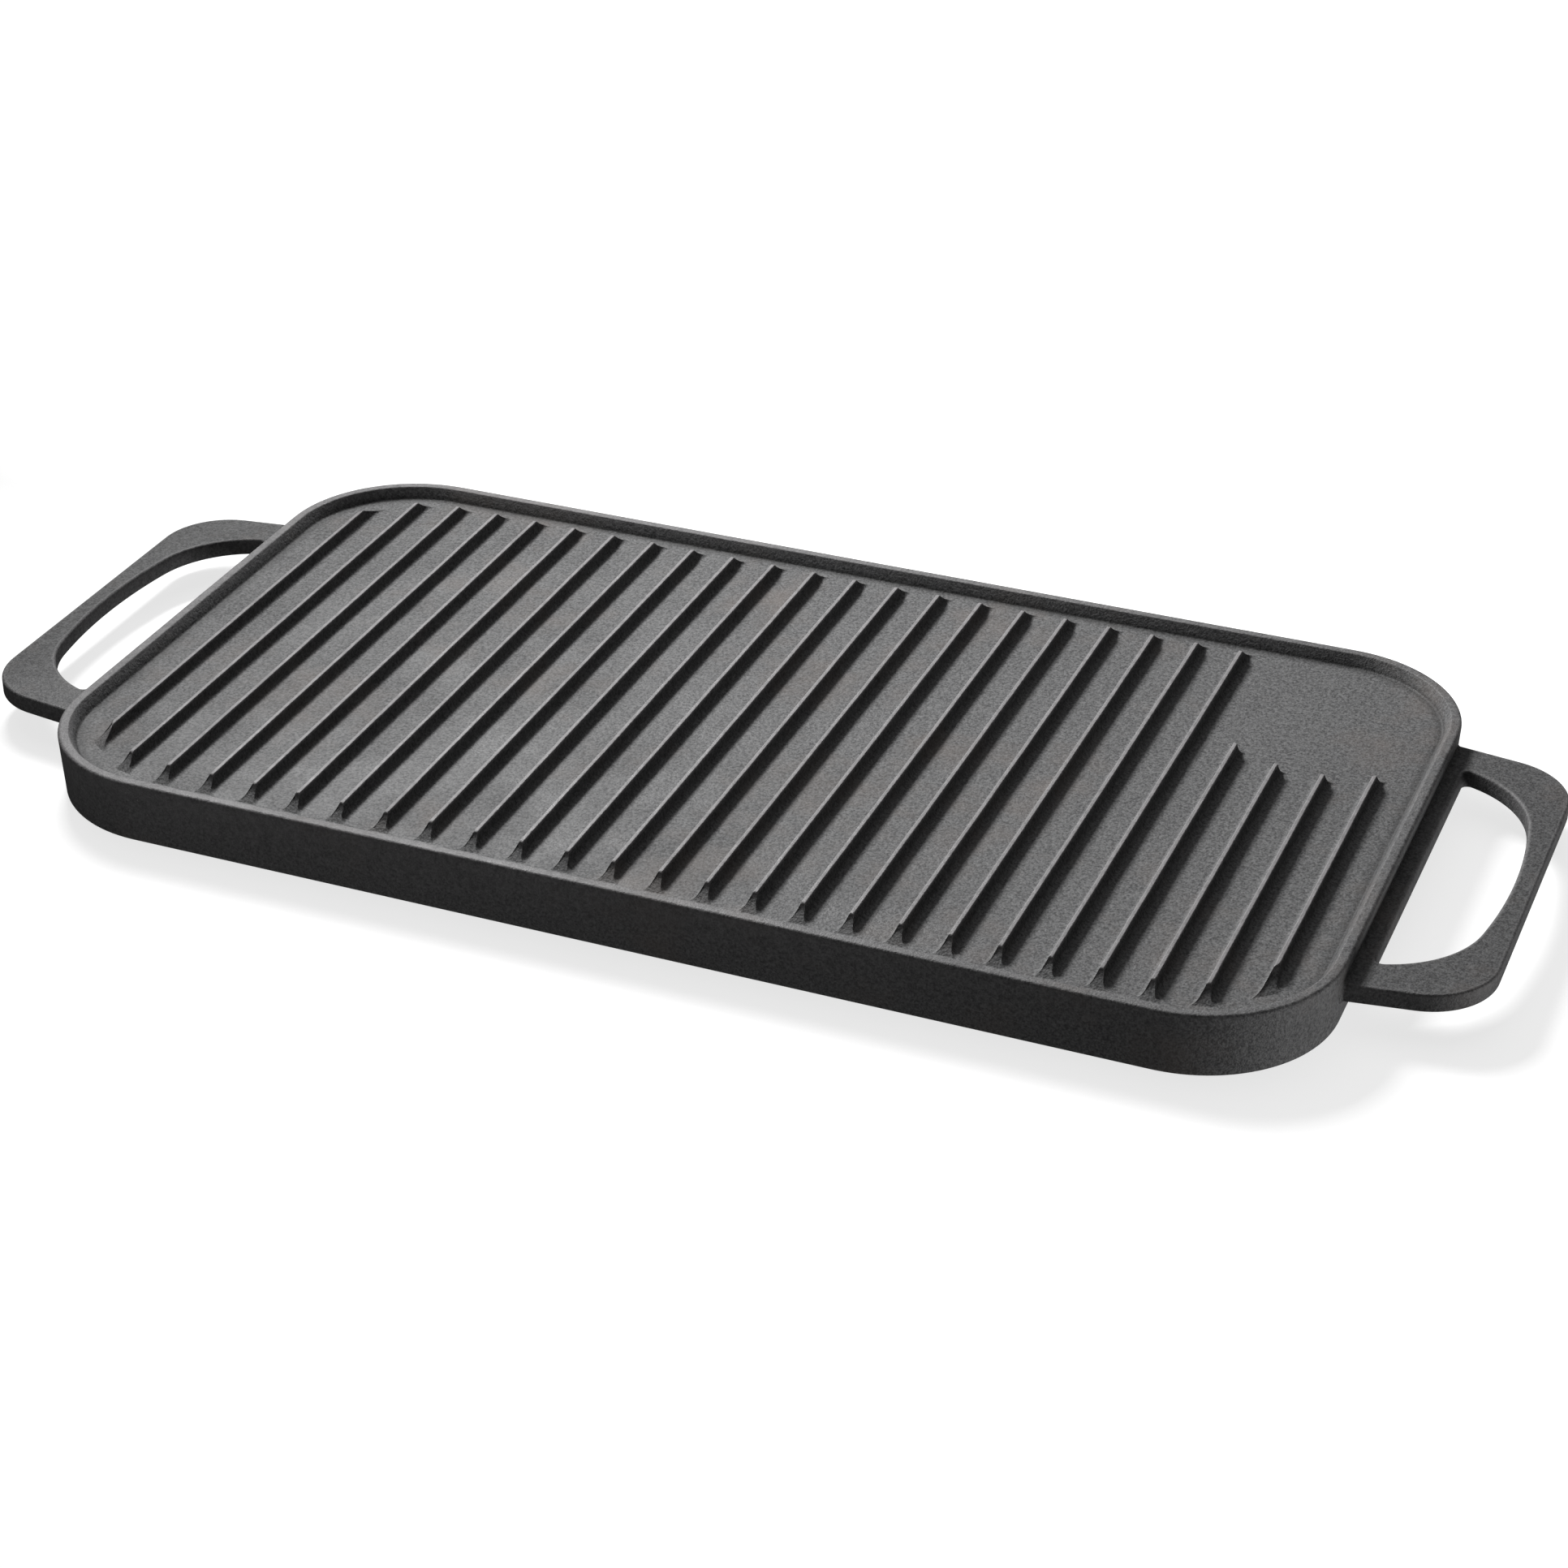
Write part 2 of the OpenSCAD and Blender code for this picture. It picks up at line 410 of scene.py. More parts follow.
@dataclass(frozen=True)
class SeasonedIron:
    """Matte seasoned cast iron: dark, finely grained, and brighter along its edges, from wear and from a
    painted highlight.

    Colours are linear. Grain and bump sizes are in millimetres. Tone scales the body's two colours,
    and one setting weakens the edge brightening towards the right end, as a painted falloff of the light.
    """

    region: Region
    wear: float
    nicks: float
    # weakens the edge brightening towards the right end: painted falloff of the light
    fade: float = 0.0
    tone: float = 1.0
    slot: str = "seasoned_iron"
    dark: Colour = (0.044, 0.044, 0.045)
    light: Colour = (0.13, 0.13, 0.131)
    # colour of the brightened edges: part real wear, part painted highlight
    worn_and_highlighted: Colour = (0.22, 0.213, 0.216)
    nicked: Colour = (0.31, 0.305, 0.3)
    # colour that darkens the inside corners
    dirt: Colour = (0.012, 0.012, 0.012)
    stained: Colour = (0.125, 0.105, 0.094)
    grain_mm: float = 0.55
    broad_mm: float = 24.0
    broad_share: float = 1.5
    bump_mm: float = 0.12
    rough_low: float = 0.52
    rough_high: float = 0.72
    worn_rough: float = -0.12
    specular: float = 0.15
    stain_scale: float = 34.0
    stain_from: float = 0.52
    stain_to: float = 0.78
    stain_share: float = 0.5

    def build(self, grain_tree: bpy.types.NodeTree, wear_and_highlight_tree: bpy.types.NodeTree) -> bpy.types.Material:
        """Builds the material.

        Args:
            grain_tree: The shared grain group.
            wear_and_highlight_tree: The shared edge wear group.

        Returns:
            The material.
        """
        material = bpy.data.materials.new(f"seasoned_iron_{self.region.value}")
        material.use_nodes = True
        tree = material.node_tree
        tree.nodes.clear()
        where = add_node(tree, "ShaderNodeTexCoord").outputs["Object"]
        edge = add_node(tree, "ShaderNodeAttribute", attribute_name=EDGE).outputs["Fac"]
        grain = add_node(tree, "ShaderNodeGroup", node_tree=grain_tree)
        wear = add_node(tree, "ShaderNodeGroup", node_tree=wear_and_highlight_tree)
        tree.links.new(where, grain.inputs["Vector"])
        tree.links.new(where, wear.inputs["Vector"])
        tree.links.new(edge, wear.inputs["Edge"])
        grain.inputs["Grain Size"].default_value = self.grain_mm * MM
        grain.inputs["Broad Size"].default_value = self.broad_mm * MM
        grain.inputs["Broad Share"].default_value = self.broad_share
        wear.inputs["Amount"].default_value = self.wear
        wear.inputs["Fade"].default_value = self.fade
        wear.inputs["Nicks"].default_value = self.nicks
        dark, light = (tuple(self.tone * v for v in colour) for colour in (self.dark, self.light))
        body = self.mix(tree, grain.outputs["Speckle"], dark, light)
        stain_noise = add_node(
            tree, "ShaderNodeTexNoise",
            {"Vector": where, "Scale": self.stain_scale, "Detail": 4.0, "Roughness": 0.6},
        )
        stain = add_node(
            tree, "ShaderNodeMapRange",
            {
                "Value": stain_noise.outputs["Fac"], 1: self.stain_from, 2: self.stain_to,
                3: 0.0, 4: self.stain_share,
            },
        )
        body = self.mix(tree, stain.outputs[0], body, self.stained)
        # brightened edges: part real wear, part painted highlight
        body = self.mix(tree, wear.outputs["Wear"], body, self.worn_and_highlighted)
        body = self.mix(tree, wear.outputs["Nick"], body, self.nicked)
        # darkened inside corners
        body = self.mix(tree, wear.outputs["Dirt"], body, self.dirt)
        rough = add_node(
            tree, "ShaderNodeMapRange",
            {"Value": grain.outputs["Cloud"], 3: self.rough_low, 4: self.rough_high},
        )
        worn_rough = add_node(
            tree, "ShaderNodeMath",
            {0: wear.outputs["Wear"], 1: self.worn_rough, 2: rough.outputs[0]}, operation="MULTIPLY_ADD",
        )
        bump = add_node(
            tree, "ShaderNodeBump",
            {"Height": grain.outputs["Height"], "Distance": self.bump_mm * MM, "Strength": 1.0},
        )
        shader = add_node(
            tree, "ShaderNodeBsdfPrincipled",
            {"Base Color": body, "Roughness": worn_rough.outputs[0], "Normal": bump.outputs["Normal"]},
        )
        shader.inputs["Specular IOR Level"].default_value = self.specular
        add_node(tree, "ShaderNodeOutputMaterial", {"Surface": shader.outputs["BSDF"]})
        return material

    @staticmethod
    def mix(tree: bpy.types.NodeTree, share: object, first: object, second: object) -> bpy.types.NodeSocket:
        """Mixes two colours.

        Args:
            tree: The material's tree.
            share: Socket that gives the first colour at 0 and the second at 1.
            first: A colour or a socket.
            second: A colour or a socket.

        Returns:
            The mixed colour's socket.
        """
        feeds = {
            k: v if isinstance(v, bpy.types.NodeSocket) else (*v, 1.0) for k, v in ((6, first), (7, second))
        }
        return add_node(tree, "ShaderNodeMix", {0: share, **feeds}, data_type="RGBA").outputs[2]


# ---- Plate ----


@dataclass
class Plate:
    """The cooking floor and the rim that runs round it. Sizes are in millimetres."""

    length: float
    width: float
    height: float
    floor_top: float
    floor_bottom: float
    corner_r: float = 42.6
    rim_w: float = 3.3
    wall_lean: float = 1.0
    inner_lean: float = 2.2
    inner_root_r: float = 1.0
    rim_edge_r: float = 1.1
    rim_inner_r: float = 0.6
    foot_edge_r: float = 1.2
    skirt_t: float = 6.2
    skirt_root_r: float = 3.0
    join: float = 9.4
    overlap: float = 0.6
    corner_points: int = 48
    path_step: float = 2.5
    waviness: float = 0.1
    wave_size: float = 30.0

    @classmethod
    def from_frame(cls) -> Plate:
        """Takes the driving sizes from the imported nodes.

        Returns:
            The plate.
        """
        low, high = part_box("rim_wall")
        floor_low, floor_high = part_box("pan_floor")
        return cls(
            length=(high.x - low.x) / MM,
            width=(high.y - low.y) / MM,
            height=high.z / MM,
            floor_top=floor_high.z / MM,
            floor_bottom=floor_low.z / MM,
        )

    @property
    def well(self) -> float:
        """Depth of the floor below the rim."""
        return self.height - self.floor_top

    def edge_centre(self, z: float, radius: float) -> Point:
        """Centre of a circle at height z that touches the leaning outer face."""
        run = math.hypot(self.wall_lean, self.height)
        return (self.wall_lean + (radius * run - z * self.wall_lean) / self.height, z)

    def section(self) -> list[tuple[float, float, float]]:
        """The rim's section: distance inwards from the outer wall, height, and how much it is worn and given
        a painted highlight.

        Returns:
            The points of the closed section in order.
        """
        lean = math.degrees(math.atan2(self.wall_lean, self.height))
        foot = self.edge_centre(self.foot_edge_r, self.foot_edge_r)
        brim = self.edge_centre(self.height - self.rim_edge_r, self.rim_edge_r)
        face_l = math.hypot(self.inner_lean, self.well)
        facing = math.degrees(math.atan2(self.inner_lean, self.well))
        lip_u = self.rim_w - self.rim_inner_r * (face_l - self.inner_lean) / self.well
        lip = (lip_u, self.height - self.rim_inner_r)
        bend_r = self.inner_root_r
        bend_u = self.rim_w + (bend_r * face_l + (self.well - bend_r) * self.inner_lean) / self.well
        bend = (bend_u, self.floor_top + bend_r)
        root = (self.skirt_t + self.skirt_root_r, self.floor_bottom - self.skirt_root_r)
        inner_foot = (self.skirt_t - self.foot_edge_r, self.foot_edge_r)
        stretches = (
            (arc(inner_foot, self.foot_edge_r, 0, -90, 5), 0.0),
            (arc(foot, self.foot_edge_r, 270, 180 + lean, 6), 0.3),
            # the brim and the lip are brightened: part real wear, part painted highlight
            (arc(brim, self.rim_edge_r, 180 + lean, 90, 8), 1.0),
            (arc(lip, self.rim_inner_r, 90, facing, 6), 0.8),
            # the inside corner at the foot of the inner face is darkened
            (arc(bend, bend_r, facing + 180, 270, 8), -0.5),
            (line((self.join - self.overlap, self.floor_top), (self.join, self.floor_top), 1), 0.0),
            (line((self.join, self.floor_bottom), (self.join - 0.1, self.floor_bottom), 1), 0.0),
            (arc(root, self.skirt_root_r, 90, 180, 8), 0.0),
        )
        return [(u, z, worn_and_highlighted) for stretch, worn_and_highlighted in stretches for u, z in stretch]

    def sweep_tree(self) -> bpy.types.NodeTree:
        """Builds the tree that carries a section round a rectangle with round corners.

        Returns:
            The geometry node group, with its sizes as named inputs.
        """
        takes = {
            "Section": GEOMETRY, "Length": FLOAT, "Width": FLOAT, "Corner Radius": FLOAT,
            "Corner Points": INTEGER, "Step": FLOAT, "Still Height": FLOAT, "Waviness": FLOAT,
            "Wave Size": FLOAT, "Finish": MATERIAL,
        }
        sketch = Sketch("rim_sweep", "GeometryNodeTree", takes, {"Mesh": GEOMETRY})
        get = sketch.inputs
        oblong = sketch.add(
            "GeometryNodeCurvePrimitiveQuadrilateral", {"Width": get["Length"], "Height": get["Width"]}
        )
        rounded = sketch.add(
            "GeometryNodeFilletCurve",
            {"Curve": oblong.outputs[0], "Radius": get["Corner Radius"], "Count": get["Corner Points"]},
            mode="POLY",
        )
        spaced = sketch.add(
            "GeometryNodeResampleCurve", {"Curve": rounded.outputs[0], "Length": get["Step"]}, mode="LENGTH"
        )
        upright = sketch.add("GeometryNodeSetCurveNormal", {"Curve": spaced.outputs[0]}, mode="Z_UP")
        profile = sketch.add("GeometryNodeMeshToCurve", {"Mesh": get["Section"]})
        swept = sketch.add(
            "GeometryNodeCurveToMesh", {"Curve": upright.outputs[0], "Profile Curve": profile.outputs[0]}
        )
        place = sketch.add("GeometryNodeInputPosition").outputs[0]
        height = sketch.add("ShaderNodeSeparateXYZ", {0: place}).outputs["Z"]
        free = sketch.maths("SUBTRACT", height, get["Still Height"])
        above = sketch.spread(free, (0.0, 3.0), (0.0, 1.0))
        amount = sketch.maths("MULTIPLY", above, get["Waviness"])
        shift = sketch.offset_waves(place, get["Wave Size"], (0.5, 0.5, 0.5), amount)
        moved = sketch.add("GeometryNodeSetPosition", {"Geometry": swept.outputs[0], "Offset": shift})
        sketch.give_dressed(moved.outputs[0])
        return sketch.tree

    def build_rim(self, material: bpy.types.Material) -> bpy.types.Object:
        """Builds the rim wall with its sloped inner face, its skirt and its foot.

        Args:
            material: Its finish.

        Returns:
            The piece.
        """
        mesh = bmesh.new()
        worn_and_highlighted_layer = mesh.verts.layers.float.new(EDGE)
        points = []
        for u, z, worn_and_highlighted in self.section():
            point = mesh.verts.new((-u, -z, 0))  # the sweep turns the section half round
            point[worn_and_highlighted_layer] = worn_and_highlighted
            points.append(point)
        for k, point in enumerate(points):
            mesh.edges.new((points[k - 1], point))
        piece = mesh_object("rim", mesh)
        grow(piece, self.sweep_tree(), {
            "Length": self.length, "Width": self.width, "Corner Radius": self.corner_r,
            "Corner Points": self.corner_points, "Step": self.path_step,
            "Still Height": self.floor_top, "Waviness": self.waviness, "Wave Size": self.wave_size,
            "Finish": material,
        })
        finish_mesh(piece)
        return piece

    def build_floor(self, material: bpy.types.Material) -> bpy.types.Object:
        """Builds the slab of the cooking floor.

        Args:
            material: Its finish.

        Returns:
            The piece.
        """
        half = (self.length / 2 - self.join, self.width / 2 - self.join)
        radius = self.corner_r - self.join
        outline: list[Point] = []
        for quarter, (sx, sy) in enumerate(((1, 1), (-1, 1), (-1, -1), (1, -1))):
            centre = (sx * (half[0] - radius), sy * (half[1] - radius))
            outline += arc(centre, radius, 90 * quarter, 90 * quarter + 90, 32)
        mesh = bmesh.new()
        mesh.verts.layers.float.new(EDGE)
        heights = (self.floor_bottom, self.floor_top)
        rings = [[mesh.verts.new((x, y, z)) for x, y in outline] for z in heights]
        for k in range(len(outline)):
            mesh.faces.new((rings[0][k - 1], rings[0][k], rings[1][k], rings[1][k - 1]))
        for ring in rings:
            mesh.faces.new(ring)
        piece = mesh_object("cooking_floor", mesh)
        piece.data.materials.append(material)
        finish_mesh(piece)
        return piece


# ---- Ribs ----


@dataclass
class Ribs:
    """The raised ribs that the food rests on. Sizes are in millimetres."""

    plate: Plate
    count: int = 26
    side_margin: float = 18.55
    shift: float = 0.8
    crest_w: float = 1.3
    neck_w: float = 2.2
    root_r: float = 1.8
    crest_edge_r: float = 0.3
    crest_margin: float = 14.5
    crest_side_margin: float = 15.0
    crest_corner_r: float = 32.0
    clear_side_margin: float = 37.0
    clear_back_margin: float = 43.4
    clear_r: float = 38.0
    clear_reach: float = 2.2
    clear_power: float = 3.0
    end_reach: float = 5.0
    end_power: float = 1.3
    end_zone: float = 6.0
    end_swell: float = 0.8
    end_round_r: float = 0.8
    embed: float = 0.3
    end_rows: int = 9
    middle_rows: int = 34
    columns: int = 4
    waviness: float = 0.22
    wave_size: float = 22.0

    @property
    def base_w(self) -> float:
        """Width of a rib where its root curves meet the floor."""
        return self.neck_w + 2 * self.root_r

    @property
    def pitch(self) -> float:
        """Distance from one rib to the next."""
        return (self.plate.length - 2 * self.side_margin) / (self.count - 1)

    @property
    def clear_x(self) -> float:
        """X of the centre of the round area left clear of ribs."""
        return self.plate.length / 2 - self.clear_side_margin

    @property
    def clear_y(self) -> float:
        """Y of that centre."""
        return self.plate.width / 2 - self.clear_back_margin

    def stations(self) -> list[float]:
        """Places of the rows along a rib: -1 to 0 in its front end, 1 to 2 in its back end.

        Returns:
            The places in order, closer together towards the two ends.
        """
        ends = [(k / self.end_rows) ** 2 for k in range(self.end_rows)]
        middle = [k / self.middle_rows for k in range(self.middle_rows + 1)]
        return [v - 1 for v in ends] + middle + [2 - v for v in reversed(ends)]

    def half_section(self) -> list[tuple[float, float, float]]:
        """Half widths of a rib from its embedded base up to its crest.

        Returns:
            Half width, height above the floor, and how much it is rubbed, for each level.
        """
        top = self.plate.well
        half_base = self.base_w / 2
        crest = (self.crest_w / 2 - self.crest_edge_r, top - self.crest_edge_r)
        levels = [(half_base, -self.embed, 0.0)]
        levels += [(w, z, 0.0) for w, z in arc((half_base, self.root_r), self.root_r, 270, 180, 9)]
        # Half width, height above the floor, and how much it is worn and given a painted highlight, for each
        # level.
        flank = line((self.neck_w / 2, self.root_r), (self.crest_w / 2, crest[1]), 3)
        levels += [(w, z, 0.0) for w, z in flank[1:-1]]
        # the crest is brightened: part real wear, part painted highlight
        levels += [(w, z, 1.0) for w, z in arc(crest, self.crest_edge_r, 0, 90, 5)]
        return levels

    def template(self) -> bpy.types.Object:
        """Draws one rib with its length still to be set: Y holds the place of each row.

        Returns:
            The mesh object.
        """
        mesh = bmesh.new()
        worn_and_highlighted_layer = mesh.verts.layers.float.new(EDGE)
        levels = self.half_section()
        stations = self.stations()
        sizes = (len(stations) - 1, len(levels) - 1, self.columns)
        grid: dict[tuple[int, int, int], bmesh.types.BMVert] = {}
        for row, station in enumerate(stations):
            for k, (half, z, worn_and_highlighted) in enumerate(levels):
                for column in range(self.columns + 1):
                    if row in (0, sizes[0]) or k in (0, sizes[1]) or column in (0, sizes[2]):
                        point = mesh.verts.new((half * (2 * column / self.columns - 1), station, z))
                        point[worn_and_highlighted_layer] = worn_and_highlighted
                        grid[row, k, column] = point
        for across, (first, second) in enumerate(((1, 2), (0, 2), (0, 1))):
            for side in (0, sizes[across]):
                for i in range(sizes[first]):
                    for j in range(sizes[second]):
                        keys = []
                        for step_i, step_j in ((0, 0), (1, 0), (1, 1), (0, 1)):
                            key = [side, side, side]
                            key[first], key[second] = i + step_i, j + step_j
                            keys.append(tuple(key))
                        mesh.faces.new([grid[key] for key in keys])
        bmesh.ops.recalc_face_normals(mesh, faces=mesh.faces)
        return mesh_object("ribs", mesh)

    @staticmethod
    def slope(sketch: Sketch, lifted: object, reach: object, power: object) -> bpy.types.NodeSocket:
        """How far a concave end face stands out at a share of the rib's height.

        Args:
            sketch: Where the nodes go.
            lifted: Height above the floor as a share of the rib's height.
            reach: How far the face stands out at the floor.
            power: 1 makes the face flat, and more makes it concave.

        Returns:
            The distance, which is 0 at the crest.
        """
        left = sketch.maths("MAXIMUM", sketch.maths("SUBTRACT", 1.0, lifted), 0.0)
        return sketch.maths("MULTIPLY", sketch.maths("POWER", left, power), reach)

    @staticmethod
    def chord(sketch: Sketch, radius: object, offset: object) -> bpy.types.NodeSocket:
        """Half the chord of a circle at an offset from its centre.

        Args:
            sketch: Where the nodes go.
            radius: Radius of the circle.
            offset: Distance of the chord from the centre.

        Returns:
            The half length, which is 0 outside the circle.
        """
        squares = [sketch.maths("POWER", length, 2.0) for length in (radius, offset)]
        square = sketch.maths("SUBTRACT", *squares)
        return sketch.maths("SQRT", sketch.maths("MAXIMUM", square, 0.0))

    def row_tree(self) -> bpy.types.NodeTree:
        """Builds the tree that lays the ribs side by side and ends each on the outline of the crests.

        Returns:
            The geometry node group, with its sizes as named inputs.
        """
        takes = {
            "Rib": GEOMETRY, "Count": INTEGER, "Pitch": FLOAT, "Shift": FLOAT, "Floor Height": FLOAT,
            "Well Depth": FLOAT, "Crest Half Length": FLOAT, "Crest Half Width": FLOAT,
            "Crest Corner Radius": FLOAT, "Clear X": FLOAT, "Clear Y": FLOAT, "Clear Radius": FLOAT,
            "Clear Reach": FLOAT, "Clear Power": FLOAT, "First Clear X": FLOAT,
            "End Reach": FLOAT, "End Power": FLOAT, "End Zone": FLOAT, "End Swell": FLOAT,
            "End Round Radius": FLOAT, "Waviness": FLOAT, "Wave Size": FLOAT,
            "Finish": MATERIAL,
        }
        sketch = Sketch("rib_row", "GeometryNodeTree", takes, {"Mesh": GEOMETRY})
        get = sketch.inputs
        maths = sketch.maths
        row_l = maths("MULTIPLY", maths("SUBTRACT", get["Count"], 1.0), get["Pitch"])
        half_row = maths("MULTIPLY", row_l, 0.5)
        first_x = maths("SUBTRACT", get["Shift"], half_row)
        start = sketch.add("ShaderNodeCombineXYZ", {"X": first_x, "Z": get["Floor Height"]}).outputs[0]
        step = sketch.add("ShaderNodeCombineXYZ", {"X": get["Pitch"]}).outputs[0]
        feet = sketch.add(
            "GeometryNodeMeshLine",
            {"Count": get["Count"], "Start Location": start, "Offset": step}, mode="OFFSET",
        )
        row = sketch.add("GeometryNodeInstanceOnPoints", {"Points": feet.outputs[0], "Instance": get["Rib"]})
        real = sketch.add("GeometryNodeRealizeInstances", {"Geometry": row.outputs[0]})
        place = sketch.add("GeometryNodeInputPosition").outputs[0]
        axes = sketch.add("ShaderNodeSeparateXYZ", {0: place}).outputs
        x, station = axes["X"], axes["Y"]
        height = maths("MAXIMUM", maths("SUBTRACT", axes["Z"], get["Floor Height"]), 0.0)
        lifted = maths("DIVIDE", height, get["Well Depth"])

        # how far this point's rib reaches to the front and to the back
        reach = self.slope(sketch, lifted, get["End Reach"], get["End Power"])
        straight_x = maths("SUBTRACT", get["Crest Half Length"], get["Crest Corner Radius"])
        straight_y = maths("SUBTRACT", get["Crest Half Width"], get["Crest Corner Radius"])
        past = maths("MAXIMUM", maths("SUBTRACT", maths("ABSOLUTE", x), straight_x), 0.0)
        corner = self.chord(sketch, maths("ADD", get["Crest Corner Radius"], reach), past)
        front = maths("ADD", straight_y, corner)
        clear_slope = self.slope(sketch, lifted, get["Clear Reach"], get["Clear Power"])
        clear_radius = maths("SUBTRACT", get["Clear Radius"], clear_slope)
        clear_chord = self.chord(sketch, clear_radius, maths("SUBTRACT", x, get["Clear X"]))
        clear_end = maths("SUBTRACT", get["Clear Y"], clear_chord)
        cleared = maths("GREATER_THAN", x, get["First Clear X"])
        back = maths("SUBTRACT", front, maths("MULTIPLY", cleared, maths("SUBTRACT", front, clear_end)))

        # where the row lies along the rib
        span = maths("ADD", front, back)
        middle = maths("SUBTRACT", span, maths("MULTIPLY", get["End Zone"], 2.0))
        in_front = maths("MULTIPLY", sketch.spread(station, (-1.0, 0.0), (0.0, 1.0)), get["End Zone"])
        in_middle = maths("MULTIPLY", sketch.spread(station, (0.0, 1.0), (0.0, 1.0)), middle)
        in_back = maths("MULTIPLY", sketch.spread(station, (1.0, 2.0), (0.0, 1.0)), get["End Zone"])
        along = maths("ADD", maths("ADD", in_front, in_middle), in_back)
        y = maths("SUBTRACT", along, front)

        # the root swells and the crest rounds over close to each end
        from_end = maths("MINIMUM", along, maths("SUBTRACT", span, along))
        end_share = maths("SUBTRACT", 1.0, maths("DIVIDE", from_end, get["End Zone"]))
        near = maths("POWER", maths("MAXIMUM", end_share, 0.0), 2.0)
        low = maths("POWER", maths("MAXIMUM", maths("SUBTRACT", 1.0, lifted), 0.0), 2.0)
        rib_number = maths("ROUND", maths("DIVIDE", maths("SUBTRACT", x, first_x), get["Pitch"]))
        rib_x = maths("MULTIPLY_ADD", rib_number, get["Pitch"], first_x)
        way = maths("SIGN", maths("SUBTRACT", x, rib_x))
        swell = maths("MULTIPLY", maths("MULTIPLY", near, low), maths("MULTIPLY", way, get["End Swell"]))
        left = maths("MAXIMUM", maths("SUBTRACT", get["End Round Radius"], from_end), 0.0)
        sunk = maths("SUBTRACT", get["End Round Radius"], self.chord(sketch, get["End Round Radius"], left))
        z = maths("SUBTRACT", axes["Z"], maths("MULTIPLY", sunk, lifted))
        laid = sketch.add("ShaderNodeCombineXYZ", {"X": maths("ADD", x, swell), "Y": y, "Z": z}).outputs[0]
        stretched = sketch.add("GeometryNodeSetPosition", {"Geometry": real.outputs[0], "Position": laid})

        # slow unevenness of the casting, which fades out at the floor
        amount = maths("MULTIPLY", lifted, get["Waviness"])
        shift = sketch.offset_waves(place, get["Wave Size"], (0.5, 0.5, 0.6), amount)
        cast = sketch.add("GeometryNodeSetPosition", {"Geometry": stretched.outputs[0], "Offset": shift})
        sketch.give_dressed(cast.outputs[0])
        return sketch.tree

    def build(self, material: bpy.types.Material) -> bpy.types.Object:
        """Builds all the ribs as one piece.

        Args:
            material: Its finish.

        Returns:
            The piece.
        """
        piece = self.template()
        grow(piece, self.row_tree(), {
            "Count": self.count, "Pitch": self.pitch, "Shift": self.shift,
            "Floor Height": self.plate.floor_top, "Well Depth": self.plate.well,
            "Crest Half Length": self.plate.length / 2 - self.crest_side_margin,
            "Crest Half Width": self.plate.width / 2 - self.crest_margin,
            "Crest Corner Radius": self.crest_corner_r,
            "Clear X": self.clear_x, "Clear Y": self.clear_y,
            "Clear Radius": self.clear_r, "Clear Reach": self.clear_reach, "Clear Power": self.clear_power,
            "First Clear X": self.clear_x - self.clear_r + self.base_w / 2,
            "End Reach": self.end_reach, "End Power": self.end_power, "End Zone": self.end_zone,
            "End Swell": self.end_swell, "End Round Radius": self.end_round_r,
            "Waviness": self.waviness, "Wave Size": self.wave_size, "Finish": material,
        })
        finish_mesh(piece)
        return piece


# ---- Handles ----


class Side(Enum):
    """The end of the plate that a handle is on, as the sign of X."""

    LEFT = -1
    RIGHT = 1


